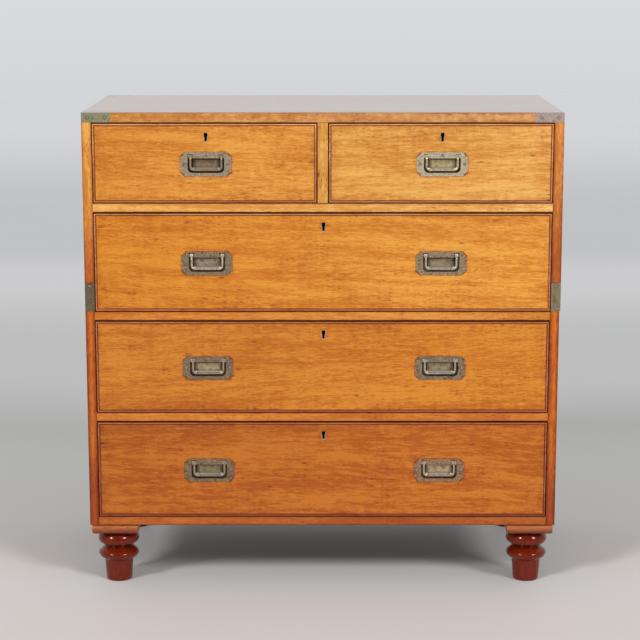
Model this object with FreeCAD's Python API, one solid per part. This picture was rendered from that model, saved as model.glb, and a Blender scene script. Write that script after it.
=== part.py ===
"""Campaign chest of drawers in two sections on turned feet, as separate pieces.

Millimetres. +X is the right of the chest, +Y its back and +Z is up. The origin is on
the floor, under the middle of the chest.
"""
import FreeCAD, Part
import os
from collections import namedtuple
from math import acos, cos, pi, sin

V = FreeCAD.Vector

# ------------------------------------------------------------------ carcass sizes
WIDTH = 930.0                # across the upper section
DEPTH = 480.0                # front edges of the boards to the back
SIDE_T = 19.0                # sides of the upper section
TOP_T = 19.0                 # top board
RAIL_T = 18.0                # rails, and the boards seen between the drawers
RAIL_DEEP = 62.0             # rails, front to back
DIVIDER_T = 21.0             # partition between the two short drawers
BASE_BOARD_T = 15.0          # bottom board of the upper section, behind the drawer front
LOWER_NARROWER = 2.0         # the lower section is this much narrower than the upper
LOWER_SHIFT = -1.0           # and stands to the left by this, so the step is on the right
LOWER_SIDE_T = 18.0          # sides of the lower section
SEAM = 0.3                   # joint between the two sections

SHORT_OPENING_H = 156.0      # heights of the openings that the drawers slide in
SECOND_OPENING_H = 195.0
THIRD_OPENING_H = 185.0
BOTTOM_OPENING_H = 195.0

HOUSING = 6.0                # how far rails and boards are let into the sides
SHOULDER = 3.0               # shoulder above and below those tongues
STOPPED = 10.0               # the tongues stop this far behind the front
SIDE_TONGUE_T = 9.0          # tongue on the sides, up into the top board
BACK_T = 12.0                # back boards
BACK_LAP = 10.0              # rebate for the back boards, in each side
BACK_TONGUE = 4.0            # tongue of one back board in the next
BACK_COUNT = 3               # back boards in each section

RUNNER_W = 24.0              # drawer runners, inside the sides
RUNNER_LET_IN = 4.0          # depth of the runners' housings
STOP_L = 40.0                # drawer stops, along the rail
STOP_D = 24.0                # drawer stops, front to back
STOP_H = 5.0
STOP_GAP = 0.3               # between a stop and the back of a shut drawer front

PEG_R = 7.0                  # pegs that locate the upper section
PEG_RISE = 13.0
PEG_INSET = 80.0             # peg to the outside of the lower section
PEG_CLEAR = 0.1

# ------------------------------------------------------------------ drawer sizes
FRONT_T = 20.0               # drawer fronts
SIDE_GAP = 1.4               # drawer to carcass, each side
TOP_GAP = 2.0                # above a drawer front
FOOT_GAP = 1.0               # below a drawer front
RUN_GAP = 0.3                # between a drawer side and its runner
BOX_T = 10.0                 # drawer sides and backs
BOX_DROP = 3.0               # drawer sides are lower than the front by this
DRAWER_CLEAR = 8.0           # from a shut drawer to the back boards
PANEL_T = 7.0                # drawer bottoms
PANEL_UP = 8.0               # drawer bottom above the lower edge of the sides
GROOVE = 4.0                 # how far the bottom is let into the sides and the front
LAP = 11.0                   # wood left in front of the dovetails
PIN_W = 5.0                  # narrow end of a dovetail pin
PIN_PITCH = 60.0             # about the spacing of the dovetails
TAIL_SLOPE = 1 / 6

BEAD_T = 4.0                 # cock bead round each drawer front
BEAD_DEEP = 11.0
BEAD_PROUD = 1.5
BEAD_SOFT = 0.9              # softened edges of its nose

# ------------------------------------------------------------------ handle sizes
HANDLE_SHIFT = 2.5           # all the handles sit this far right of the drawer centres
HANDLE_DROP = 2.5            # and this far below the middle of the drawer
PLATE_W = 99.0
PLATE_H = 47.0
PLATE_T = 2.4
PLATE_CANT = 9.0             # canted corners, with a small step at each end of the cant
PLATE_STEP = 1.3
PIVOT_DOWN = 8.3             # top edge of the plate to the pins
PIVOT_DEEP = 3.0             # pins behind the face of the plate
ARM_HALF = 30.0              # middle of the handle to the middle of an arm
BAIL_DROP = 26.5             # pins to the middle of the bar
BAIL_BEND = 7.0              # radius of the bail's corners
ROD_R = 2.2
ROD_SIDES = 10               # flats round the bar of the bail
BEND_STEPS = 3               # straight lengths in each of its bends
BOSS_R = 4.5                 # round boss at the top of each arm, proud of the plate
FLUSH_BOSS_R = 3.2           # the same on the short drawers, level with the plate
BOSS_L = 9.4
TURNED_SIDES = 10            # flats round the bosses, pins, pegs and spigots
PIN_R = 1.3                  # pins on the bosses, in slots at the back of the casting
PIN_CLEAR = 0.1
PIN_LET_IN = 3.0
BOSS_CLEAR = 0.5             # boss to its pocket
BAIL_CLEAR = 0.4             # bail to the floor of its recess
GRIP_GAP = 3.3               # round the outside of the bail
RECESS_DOWN = 12.0           # top edge of the plate to the top of the recess
RECESS_ROUND = 9.0           # its lower corners
RECESS_STEPS = 3             # straight cuts in each of them
DISH_RIM = 7.5               # ledge that the bail lies over
DISH_FOOT = 3.3              # the same below the bar
DISH_DEEP = 12.0
DISH_SLOPE = 3.0             # how far the walls of the dish lean in
PAN_WALL = 1.2

# ------------------------------------------------------------------ lock sizes
KEYHOLE_DOWN = 28.5          # middle of the keyhole below the top of the opening
LONG_LOCK_X = 1.2            # locks of the long drawers, right of the middle
LINER_H = 19.4               # brass liner of the keyhole
LINER_HEAD_R = 4.5
LINER_SLOT_W = 7.6
KEYHOLE_SIDES = 6            # facets round the head of a keyhole
KEYHOLE_FOOT_SIDES = 3       # and round its foot
LINER_T = 1.5
LOCK_W = 56.0
LOCK_H = 46.0
BOLT_W = 22.0
BOLT_T = 4.0
BOLT_H = 24.0
BOLT_CLEAR = 0.3
BOLT_TRAVEL = 6.0
MORTISE_CLEAR = 1.5          # round a thrown bolt

# ------------------------------------------------------------------ brass straps
STRAP_T = 2.0
STRAP_L = 56.0               # each leg, along the edge
STRAP_W = 20.0               # arms on the top and on the sides
BASE_STRAP_H = 57.0          # straps at the foot of the upper section

# ------------------------------------------------------------------ foot sizes
BLOCK_W = 92.0               # square block above each foot
BLOCK_T = 20.0
BLOCK_ROUND = 3.0            # softened edges
BLOCK_INSET = 3.0            # block behind the outside of the lower section
FOOT_INWARD = 2.0            # foot further in than the middle of its block
PEG_FOOT_H = 44.0            # tapered peg at the bottom
PEG_FOOT_R = 25.0            # its radius at the floor
PEG_SHOULDER_R = 28.8        # and under the ring
HEEL = 3.5                   # softened edge at the floor
RING_H = 28.0
RING_R = 40.5
RING_BULGE = 20.0            # half width of the oval that rounds the ring
NECK_R = 26.5                # between the ring and the bun
BUN_H = 34.0
BUN_R = 41.0
BUN_BULGE = 20.0
BUN_TOP_R = 30.0
BAND_STEPS = 5               # straight cuts that make up each rounded band
FOOT_SIDES = 24              # flats round a foot
SPIGOT_R = 13.0              # spigot up into the block
SPIGOT_SHORT = 4.0           # it ends this far below the top of the block

# ------------------------------------------------------------------ levels
FRONT = -DEPTH / 2
BACK = DEPTH / 2
BACK_IN = BACK - BACK_T
FRONT_IN = FRONT + FRONT_T
FOOT_H = PEG_FOOT_H + RING_H + BUN_H
LOWER_Z = FOOT_H + BLOCK_T
BOTTOM_RUN_Z = LOWER_Z + RAIL_T
MID_RAIL_Z = BOTTOM_RUN_Z + BOTTOM_OPENING_H
THIRD_RUN_Z = MID_RAIL_Z + RAIL_T
LOWER_TOP_Z = THIRD_RUN_Z + THIRD_OPENING_H
SEAM_Z = LOWER_TOP_Z + RAIL_T
UPPER_Z = SEAM_Z + SEAM
SECOND_RUN_Z = UPPER_Z + BASE_BOARD_T
UPPER_RAIL_Z = UPPER_Z + SECOND_OPENING_H
SHORT_RUN_Z = UPPER_RAIL_Z + RAIL_T
TOP_BOARD_Z = SHORT_RUN_Z + SHORT_OPENING_H
TOP_Z = TOP_BOARD_Z + TOP_T

# ------------------------------------------------------------------ widths
Section = namedtuple("Section", "left right side bottom top")
UPPER = Section(-WIDTH / 2, WIDTH / 2, SIDE_T, UPPER_Z, TOP_BOARD_Z)
LOWER = Section(-(WIDTH - LOWER_NARROWER) / 2 + LOWER_SHIFT,
                (WIDTH - LOWER_NARROWER) / 2 + LOWER_SHIFT,
                LOWER_SIDE_T, LOWER_Z, SEAM_Z)
SHORT_MIDDLE = (UPPER.right - UPPER.side + DIVIDER_T / 2) / 2
HANDLES_X = (HANDLE_SHIFT - SHORT_MIDDLE, HANDLE_SHIFT + SHORT_MIDDLE)

# A drawer: the opening left, right, floor and top, the lower edge of its front, the
# middles of its handles and of its lock.
Drawer = namedtuple("Drawer", "name left right run top foot handles lock")


def long_drawer(name, section, run, top, foot):
    left = section.left + section.side
    right = section.right - section.side
    return Drawer(name, left, right, run, top, foot + FOOT_GAP, HANDLES_X, LONG_LOCK_X)


def short_drawer(name, left, right, handle):
    return Drawer(name, left, right, SHORT_RUN_Z, TOP_BOARD_Z, SHORT_RUN_Z + FOOT_GAP,
                  (handle,), handle)


DRAWERS = (
    short_drawer("top_left_drawer", UPPER.left + UPPER.side, -DIVIDER_T / 2, HANDLES_X[0]),
    short_drawer("top_right_drawer", DIVIDER_T / 2, UPPER.right - UPPER.side, HANDLES_X[1]),
    long_drawer("second_drawer", UPPER, SECOND_RUN_Z, UPPER_RAIL_Z, UPPER_Z),
    long_drawer("third_drawer", LOWER, THIRD_RUN_Z, LOWER_TOP_Z, THIRD_RUN_Z),
    long_drawer("bottom_drawer", LOWER, BOTTOM_RUN_Z, MID_RAIL_Z, BOTTOM_RUN_Z),
)

LOCK_Y = FRONT + LAP                       # front of the lock case
BOLT_Y = (LOCK_Y + FRONT_IN) / 2           # middle of the bolt


# ------------------------------------------------------------------ shapes
def box(x0, x1, y0, y1, z0, z1):
    return Part.makeBox(x1 - x0, y1 - y0, z1 - z0, V(x0, y0, z0))


def polygon(points):
    return Part.Face(Part.makePolygon(points + points[:1]))


def prism_x(outline, x0, x1):
    """An outline of (y, z) points, from x0 to x1."""
    return polygon([V(x0, y, z) for y, z in outline]).extrude(V(x1 - x0, 0, 0))


def prism_y(outline, y0, y1):
    """An outline of (x, z) points, from y0 to y1."""
    return polygon([V(x, y0, z) for x, z in outline]).extrude(V(0, y1 - y0, 0))


def arc(x, z, radius, start, end, steps):
    """Points along an arc about a centre, with both ends."""
    angles = [start + (end - start) * i / steps for i in range(steps + 1)]
    return [(x + radius * cos(a), z + radius * sin(a)) for a in angles]


def skin(rings):
    """A solid between closed rings of points, with flat ends."""
    faces = [polygon(rings[0]), polygon(rings[-1])]
    for low, high in zip(rings, rings[1:]):
        for i in range(len(low)):
            faces.append(polygon([low[i - 1], low[i], high[i], high[i - 1]]))
    solid = Part.Solid(Part.Shell(faces))
    return solid if solid.Volume > 0 else solid.reversed()


def round_bar(points, radius, sides, sideways):
    """A round bar along points, in flats, mitred at each point between its square
    ends. The line of points lies in a plane and sideways is square to that plane."""
    ways = [(b - a).normalize() for a, b in zip(points, points[1:])]
    rings = []
    for point, before, after in zip(points, ways[:1] + ways, ways + ways[-1:]):
        middle = (before + after).normalize()
        across = middle.cross(sideways) * (radius / before.dot(middle))
        turn = arc(0, 0, 1, pi / sides, pi / sides + 2 * pi, sides)[:-1]
        rings.append([point + across * c + sideways * (radius * s) for c, s in turn])
    return skin(rings)


def rod(start, end, radius):
    """A straight round rod; its line is level along X, or upright."""
    return round_bar([start, end], radius, TURNED_SIDES, V(0, 1, 0))


def cut_all(shape, tools):
    for tool in tools:
        shape = shape.cut(tool)
    return shape


def mirror_x(shape, about=0.0):
    return shape.mirror(V(about, 0, 0), V(1, 0, 0))


def mirror_y(shape):
    return shape.mirror(V(0, 0, 0), V(0, 1, 0))


def save(name, *shapes):
    """Write one node: a single solid, or a group of separate solids."""
    solids = [solid for shape in shapes for solid in shape.Solids]
    shape = solids[0] if len(solids) == 1 else Part.makeCompound(solids)
    shape.exportStep("parts/" + name + ".step")


# ------------------------------------------------------------------ carcass pieces
def housed_board(section, y1, z0, z1):
    """A rail or board between the sides, with a stopped tongue into each of them."""
    left = section.left + section.side
    right = section.right - section.side
    board = box(left, right, FRONT, y1, z0, z1)
    tongue = box(left - HOUSING, right + HOUSING, FRONT + STOPPED, y1 - STOPPED,
                 z0 + SHOULDER, z1 - SHOULDER)
    return board.fuse(tongue).removeSplitter()


def base_board():
    """Bottom of the upper section, set back to leave room for the drawer front."""
    board = housed_board(UPPER, BACK_IN, UPPER_Z, SECOND_RUN_Z)
    front = box(UPPER.left, UPPER.right, FRONT, FRONT_IN + STOP_GAP, UPPER_Z, SECOND_RUN_Z)
    return board.cut(front)


def side_board(section, left_side, tongue):
    """A side, rebated for the back boards, with a tongue up into the top board."""
    outer, inner = section.left, section.left + section.side
    board = box(outer, inner, FRONT, BACK, section.bottom, section.top)
    rebate = box(inner - BACK_LAP, inner, BACK_IN, BACK, section.bottom, section.top)
    board = board.cut(rebate)
    if tongue:
        middle = (outer + inner) / 2
        board = board.fuse(box(middle - SIDE_TONGUE_T / 2, middle + SIDE_TONGUE_T / 2,
                               FRONT + STOPPED + STRAP_T, BACK_IN - STOPPED,
                               section.top, section.top + HOUSING))
        board = board.removeSplitter()
    return board if left_side else mirror_x(board, (section.left + section.right) / 2)


def runner(section, z0, left_side):
    """A strip under a drawer side, let into the side of the carcass."""
    inner = section.left + section.side
    strip = box(inner - RUNNER_LET_IN, inner + RUNNER_W, FRONT + RAIL_DEEP, BACK_IN,
                z0, z0 + RAIL_T)
    return strip if left_side else mirror_x(strip, (section.left + section.right) / 2)


def centre_runner(z0):
    """The strip under the partition, which carries both short drawers."""
    half = DIVIDER_T / 2 + RUNNER_W
    return box(-half, half, FRONT + RAIL_DEEP, BACK_IN, z0, z0 + RAIL_T)


def drawer_stops(drawer):
    """Two blocks on the rail, just behind the shut drawer front."""
    stops = []
    for share in (0.2, 0.8):
        x = drawer.left + share * (drawer.right - drawer.left)
        y = FRONT_IN + STOP_GAP
        stops.append(box(x - STOP_L / 2, x + STOP_L / 2, y, y + STOP_D,
                         drawer.run, drawer.run + STOP_H))
    return stops


def back_boards(section):
    """Level boards across the back, each with a tongue into the one above."""
    x0 = section.left + section.side - BACK_LAP
    x1 = section.right - section.side + BACK_LAP
    pitch = (section.top - section.bottom) / BACK_COUNT
    middle = (BACK_IN + BACK) / 2
    boards = []
    for i in range(BACK_COUNT):
        z0 = section.bottom + i * pitch
        board = box(x0, x1, BACK_IN, BACK, z0, z0 + pitch)
        if boards:
            board = board.cut(boards[-1])
        if i < BACK_COUNT - 1:
            tongue = box(x0, x1, middle - BACK_TONGUE / 2, middle + BACK_TONGUE / 2,
                         z0 + pitch, z0 + pitch + BACK_TONGUE)
            board = board.fuse(tongue).removeSplitter()
        boards.append(board)
    return boards


def peg_places():
    return [(LOWER.left + PEG_INSET, 0.0), (LOWER.right - PEG_INSET, 0.0)]


def peg(x, y):
    """A wooden peg, fixed in the lower section, that locates the upper one."""
    return rod(V(x, y, LOWER_TOP_Z), V(x, y, SEAM_Z + PEG_RISE), PEG_R)


def bolt_mortise(drawer):
    """Room for a thrown lock bolt in the board above the drawer."""
    half = BOLT_W / 2 + MORTISE_CLEAR
    thick = BOLT_T / 2 + MORTISE_CLEAR
    return box(drawer.lock - half, drawer.lock + half, BOLT_Y - thick, BOLT_Y + thick,
               drawer.top, drawer.top + BOLT_TRAVEL + MORTISE_CLEAR)


# ------------------------------------------------------------------ brass straps
def top_strap():
    """Front left corner of the top board: a leg on the front edge, one on the end
    and an L on the top."""
    x, y, z = UPPER.left, FRONT, TOP_Z
    front = box(x, x + STRAP_L, y, y + STRAP_T, TOP_BOARD_Z, z)
    end = box(x, x + STRAP_T, y, y + STRAP_L, TOP_BOARD_Z, z)
    along_front = box(x, x + STRAP_L, y, y + STRAP_W, z - STRAP_T, z)
    along_end = box(x, x + STRAP_W, y, y + STRAP_L, z - STRAP_T, z)
    return front.fuse([end, along_front, along_end]).removeSplitter()


def base_strap():
    """Front left corner at the foot of the upper section: a leg on the front edge of
    the side and an L on its outer face."""
    x, y, z = UPPER.left, FRONT, UPPER_Z
    front = box(x, x + SIDE_T, y, y + STRAP_T, z, z + BASE_STRAP_H)
    upright = box(x, x + STRAP_T, y, y + STRAP_W, z, z + BASE_STRAP_H)
    level = box(x, x + STRAP_T, y, y + STRAP_L, z, z + STRAP_W)
    return front.fuse([upright, level]).removeSplitter()


def back_base_strap():
    """The same at the back, where the leg covers only the side's own edge."""
    strap = mirror_y(base_strap())
    inner = UPPER.left + UPPER.side - BACK_LAP
    return strap.cut(box(inner, UPPER.left + UPPER.side, BACK_IN, BACK,
                         UPPER_Z, UPPER_Z + BASE_STRAP_H))


def all_corners(left_pieces):
    return left_pieces + [mirror_x(piece) for piece in left_pieces]


# ------------------------------------------------------------------ feet
def foot_block():
    """A square block with softened edges, about the origin, its top at LOWER_Z."""
    half = BLOCK_W / 2
    slab = box(-half, half, -half, half, FOOT_H, LOWER_Z)
    level = [e for e in slab.Edges if e.BoundBox.ZLength < 1e-6]
    return slab.makeChamfer(BLOCK_ROUND, level)


def turned_band(r0, r1, z0, z1, widest, bulge):
    """Outline of a rounded band, from radius r0 at z0 to r1 at z1, by way of the
    widest radius: points on an oval, as the chisel leaves short straight cuts."""
    a0 = -acos((r0 - widest + bulge) / bulge)
    a1 = acos((r1 - widest + bulge) / bulge)
    tall = (z1 - z0) / (sin(a1) - sin(a0))
    middle = z0 - tall * sin(a0)
    angles = [a0 + (a1 - a0) * i / BAND_STEPS for i in range(BAND_STEPS + 1)]
    return [(widest - bulge + bulge * cos(a), middle + tall * sin(a)) for a in angles]


def turned_foot():
    """A lathe-turned foot about the origin: tapered peg, ring, bun and spigot."""
    ring_z = PEG_FOOT_H
    bun_z = ring_z + RING_H
    outline = [(PEG_FOOT_R - HEEL, 0), (PEG_FOOT_R, HEEL)]
    outline += turned_band(PEG_SHOULDER_R, NECK_R, ring_z, bun_z, RING_R, RING_BULGE)
    outline += turned_band(NECK_R, BUN_TOP_R, bun_z, FOOT_H, BUN_R, BUN_BULGE)[1:]
    foot = skin([[V(x, y, z) for x, y in arc(0, 0, r, 0, 2 * pi, FOOT_SIDES)[:-1]]
                 for r, z in outline])
    return foot.fuse(rod(V(0, 0, FOOT_H), V(0, 0, LOWER_Z - SPIGOT_SHORT), SPIGOT_R))


def corner_places(inset):
    xs = (LOWER.left + inset, LOWER.right - inset)
    ys = (FRONT + inset, BACK - inset)
    return [(x, y) for x in xs for y in ys]


def block_places():
    return corner_places(BLOCK_INSET + BLOCK_W / 2)


def foot_places():
    return corner_places(BLOCK_INSET + BLOCK_W / 2 + FOOT_INWARD)


def moved(shape, x, y, z=0.0):
    copy = shape.copy()
    copy.translate(V(x, y, z))
    return copy


# ------------------------------------------------------------------ handles
def handle_z(drawer):
    """Level of the middle of the handle plates."""
    opening_floor = drawer.foot - FOOT_GAP
    return (opening_floor + drawer.top) / 2 - HANDLE_DROP


def pivot_z(drawer):
    return handle_z(drawer) + PLATE_H / 2 - PIVOT_DOWN


RECESS_HALF = ARM_HALF + ROD_R + GRIP_GAP
RECESS_LOW = PLATE_H / 2 - PIVOT_DOWN - BAIL_DROP - ROD_R - GRIP_GAP
RECESS_HIGH = PLATE_H / 2 - RECESS_DOWN
CHANNEL_DEEP = PIVOT_DEEP + ROD_R + BAIL_CLEAR
POCKET_HALF = BOSS_L / 2 + BOSS_CLEAR
PAN_HALF = max(ARM_HALF + POCKET_HALF + PIN_LET_IN, RECESS_HALF) + PAN_WALL


def bail_recess():
    """The recess that the bail lies in, rounded at its lower corners."""
    low, high, half, r = RECESS_LOW, RECESS_HIGH, RECESS_HALF, RECESS_ROUND
    corners = arc(r - half, low + r, r, pi, 1.5 * pi, RECESS_STEPS)
    corners += arc(half - r, low + r, r, 1.5 * pi, 2 * pi, RECESS_STEPS)
    return prism_y([(-half, high)] + corners + [(half, high)], 0, CHANNEL_DEEP)


def finger_dish():
    """The deeper dish inside it, with walls that lean in to a flat floor."""
    half = RECESS_HALF - DISH_RIM
    low, high = RECESS_LOW + DISH_FOOT, RECESS_HIGH
    lean = DISH_SLOPE
    return Part.makeWedge(-half, 0, low, low + lean, lean - half,
                          half, DISH_DEEP, high, high - lean, half - lean)


def plate_outline():
    """The outline of a handle plate, with a cant between two steps at each corner."""
    w, h = PLATE_W / 2, PLATE_H / 2
    near, far = PLATE_STEP, PLATE_CANT
    corner = [(far, 0), (far, near), (near, far), (0, far)]
    outline = [(w - a, h - b) for a, b in corner[::-1]]
    outline += [(a - w, h - b) for a, b in corner]
    outline += [(a - w, b - h) for a, b in corner[::-1]]
    return outline + [(w - a, b - h) for a, b in corner]


def handle_parts(boss_r):
    """A casting, and the room it needs in the drawer front. The middle of the
    plate's face is at the origin."""
    plate = prism_y(plate_outline(), 0, PLATE_T)
    pivot = PLATE_H / 2 - PIVOT_DOWN
    pocket_r = boss_r + BOSS_CLEAR
    pan_top = min(pivot + BOSS_R + BOSS_CLEAR + PAN_WALL, PLATE_H / 2)
    pan_back = DISH_DEEP + PAN_WALL
    pan = box(-PAN_HALF, PAN_HALF, PLATE_T, pan_back, RECESS_LOW - PAN_WALL, pan_top)
    room = plate.fuse(pan).removeSplitter()
    casting = cut_all(room, [bail_recess(), finger_dish()])
    slot_r = PIN_R + PIN_CLEAR
    for side in (-1, 1):
        near = side * (ARM_HALF - POCKET_HALF)
        far = side * (ARM_HALF + POCKET_HALF)
        end = far + side * (PIN_LET_IN + PIN_CLEAR)
        pocket = box(min(near, far), max(near, far), 0, PIVOT_DEEP + pocket_r,
                     pivot - pocket_r, pivot + pocket_r)
        slot = box(min(far, end), max(far, end), PIVOT_DEEP - slot_r, pan_back,
                   pivot - slot_r, pivot + slot_r)
        casting = cut_all(casting, [pocket, slot])
    return casting, room


def bail(boss_r):
    """A round bar bent to a U, with a boss and a pin at the top of each arm. The
    middle of the pin line is at the origin."""
    a, d, r = ARM_HALF, BAIL_DROP, BAIL_BEND
    bends = arc(r - a, r - d, r, pi, 1.5 * pi, BEND_STEPS)
    bends += arc(a - r, r - d, r, 1.5 * pi, 2 * pi, BEND_STEPS)
    points = [V(x, 0, z) for x, z in [(-a, 0)] + bends + [(a, 0)]]
    bar = round_bar(points, ROD_R, ROD_SIDES, V(0, 1, 0))
    for side in (-1, 1):
        inner, outer = side * (a - BOSS_L / 2), side * (a + BOSS_L / 2)
        boss = rod(V(inner, 0, 0), V(outer, 0, 0), boss_r)
        pin = rod(V(outer, 0, 0), V(outer + side * (BOSS_CLEAR + PIN_LET_IN), 0, 0), PIN_R)
        bar = bar.fuse([boss, pin])
    return bar.removeSplitter()


# ------------------------------------------------------------------ locks
def keyhole(head_r, slot_w, height, y0, y1):
    """A keyhole shape about the origin: a round head over a slot with a round foot."""
    s = slot_w / 2
    start = -acos(s / head_r)
    head = arc(0, height / 2 - head_r, head_r, start, pi - start, KEYHOLE_SIDES)
    foot = arc(0, s - height / 2, s, pi, 2 * pi, KEYHOLE_FOOT_SIDES)
    return prism_y(head + foot, y0, y1)


def lock_parts(drawer):
    """The liner, the case and the bolt of a drawer's lock, and the cuts in the front."""
    z = drawer.top - KEYHOLE_DOWN
    x = drawer.lock
    outer = moved(keyhole(LINER_HEAD_R, LINER_SLOT_W, LINER_H, FRONT, LOCK_Y), x, 0, z)
    hole = keyhole(LINER_HEAD_R - LINER_T, LINER_SLOT_W - 2 * LINER_T, LINER_H - 2 * LINER_T,
                   FRONT, LOCK_Y)
    hole = moved(hole, x, 0, z)
    top = drawer.top - TOP_GAP
    case = box(x - LOCK_W / 2, x + LOCK_W / 2, LOCK_Y, FRONT_IN, top - LOCK_H, top)
    half = BOLT_W / 2 + BOLT_CLEAR
    thick = BOLT_T / 2 + BOLT_CLEAR
    channel = box(x - half, x + half, BOLT_Y - thick, BOLT_Y + thick,
                  top - BOLT_H - BOLT_CLEAR, top)
    bolt = box(x - BOLT_W / 2, x + BOLT_W / 2, BOLT_Y - BOLT_T / 2, BOLT_Y + BOLT_T / 2,
               top - BOLT_H, top)
    return outer.cut(hole), case.cut(channel), bolt, [outer, case]


# ------------------------------------------------------------------ drawers
def bead_strip(length):
    """A strip with a softened nose and mitred ends, its outer edge at the origin's
    level and its length along X."""
    d, p, t = BEAD_DEEP, BEAD_PROUD, BEAD_T
    half = length / 2
    nose = [(d, 0), (0, 0), (-p, BEAD_SOFT), (-p, t - BEAD_SOFT), (0, t), (d, t)]
    mitres = prism_y([(-half, 0), (half, 0), (half - t, t), (t - half, t)], -p, d)
    return prism_x(nose, -half, half).common(mitres)


def cock_bead(x0, x1, z0, z1):
    """Four strips round the edge of a drawer front."""
    xm, zm = (x0 + x1) / 2, (z0 + z1) / 2
    sides = [(x1 - x0, 0, xm, z0), (z1 - z0, -90, x0, zm),
             (x1 - x0, 180, xm, z1), (z1 - z0, 90, x1, zm)]
    strips = []
    for length, angle, x, z in sides:
        strip = bead_strip(length)
        strip.rotate(V(0, 0, 0), V(0, 1, 0), -angle)
        strips.append(moved(strip, x, FRONT, z))
    return strips


def tails(y_root, y_tip, z0, z1):
    """Points up the end of a drawer side: dovetails, wider at their tips."""
    count = max(2, round((z1 - z0) / PIN_PITCH))
    pitch = (z1 - z0) / count
    tip = (pitch - PIN_W) / 2
    root = tip - abs(y_tip - y_root) * TAIL_SLOPE
    points = [(y_root, z0)]
    for i in range(count):
        middle = z0 + (i + 0.5) * pitch
        points += [(y_root, middle - root), (y_tip, middle - tip),
                   (y_tip, middle + tip), (y_root, middle + root)]
    return points + [(y_root, z1)]


Box = namedtuple("Box", "x0 x1 z0 z1 front_z0 front_z1 back_in back_out panel_z0 panel_z1")


def box_sizes(drawer):
    """Where the pieces of a drawer lie in its opening."""
    z0 = drawer.run + RUN_GAP
    top = drawer.top - TOP_GAP
    back_out = BACK_IN - DRAWER_CLEAR
    panel = z0 + PANEL_UP
    return Box(drawer.left + SIDE_GAP, drawer.right - SIDE_GAP, z0, top - BOX_DROP,
               drawer.foot, top, back_out - BOX_T, back_out, panel, panel + PANEL_T)


def drawer_box(b):
    """Dovetailed sides and back, with a bottom let into grooves."""
    panel = box(b.x0 + BOX_T - GROOVE, b.x1 - BOX_T + GROOVE, FRONT_IN - GROOVE, b.back_out,
                b.panel_z0, b.panel_z1)
    front_end = tails(FRONT_IN, FRONT + LAP, b.z0, b.z1)
    back_end = [(b.back_out, b.z0), (b.back_out, b.panel_z1)]
    back_end += tails(b.back_in, b.back_out, b.panel_z1, b.z1)
    outline = front_end + back_end[::-1]
    left = prism_x(outline, b.x0, b.x0 + BOX_T).cut(panel)
    right = prism_x(outline, b.x1 - BOX_T, b.x1).cut(panel)
    back = box(b.x0, b.x1, b.back_in, b.back_out, b.panel_z1, b.z1)
    return left, right, back.cut(left).cut(right), panel


def drawer_front(b, cuts):
    """The front board, rebated for the cock bead and cut for all that it holds."""
    board = box(b.x0, b.x1, FRONT, FRONT_IN, b.front_z0, b.front_z1)
    around = box(b.x0, b.x1, FRONT, FRONT + BEAD_DEEP, b.front_z0, b.front_z1)
    within = box(b.x0 + BEAD_T, b.x1 - BEAD_T, FRONT, FRONT + BEAD_DEEP,
                 b.front_z0 + BEAD_T, b.front_z1 - BEAD_T)
    return cut_all(board.cut(around.cut(within)), cuts)


def save_drawer(drawer):
    """All the nodes of one drawer."""
    boss_r = FLUSH_BOSS_R if len(drawer.handles) == 1 else BOSS_R
    casting, room = handle_parts(boss_r)
    swing = bail(boss_r)
    b = box_sizes(drawer)
    pieces = drawer_box(b)
    liner, case, bolt, lock_cuts = lock_parts(drawer)
    level = handle_z(drawer)
    rooms = [moved(room, x, FRONT, level) for x in drawer.handles]
    front = drawer_front(b, list(pieces[:2]) + [pieces[3]] + rooms + lock_cuts)
    save(drawer.name + "_front", front)
    save(drawer.name + "_box", *pieces)
    save(drawer.name + "_bead", *cock_bead(b.x0, b.x1, b.front_z0, b.front_z1))
    save(drawer.name + "_plates", *[moved(casting, x, FRONT, level) for x in drawer.handles])
    save(drawer.name + "_lock", liner, case)
    save(drawer.name + "_bolt", bolt)
    for x in drawer.handles:
        suffix = "" if len(drawer.handles) == 1 else ("_left" if x < 0 else "_right")
        save(drawer.name + "_bail" + suffix,
             moved(swing, x, FRONT + PIVOT_DEEP, pivot_z(drawer)))


# ------------------------------------------------------------------ sections
def save_lower():
    """The lower section, with its feet."""
    mortises = [bolt_mortise(d) for d in DRAWERS[3:]]
    pegs = [peg(x, y) for x, y in peg_places()]
    feet = [moved(turned_foot(), x, y) for x, y in foot_places()]
    blocks = [moved(foot_block(), x, y) for x, y in block_places()]
    top = cut_all(housed_board(LOWER, BACK_IN, LOWER_TOP_Z, SEAM_Z), pegs + mortises)
    bottom = housed_board(LOWER, BACK_IN, LOWER_Z, BOTTOM_RUN_Z)
    rail = cut_all(housed_board(LOWER, FRONT + RAIL_DEEP, MID_RAIL_Z, THIRD_RUN_Z), mortises)
    runners = [runner(LOWER, MID_RAIL_Z, left) for left in (True, False)]
    let_in = [top, bottom, rail] + runners
    stops = drawer_stops(DRAWERS[3]) + drawer_stops(DRAWERS[4])
    save("lower_side_left", cut_all(side_board(LOWER, True, False), let_in))
    save("lower_side_right", cut_all(side_board(LOWER, False, False), let_in))
    save("lower_top_board", top)
    save("lower_bottom_board", bottom)
    save("lower_mid_rail", rail)
    save("lower_runners", *runners)
    save("lower_drawer_stops", *stops)
    save("lower_back_boards", *back_boards(LOWER))
    save("locating_pegs", *pegs)
    save("foot_blocks", *[cut_all(block, feet) for block in blocks])
    save("turned_feet", *feet)


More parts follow.
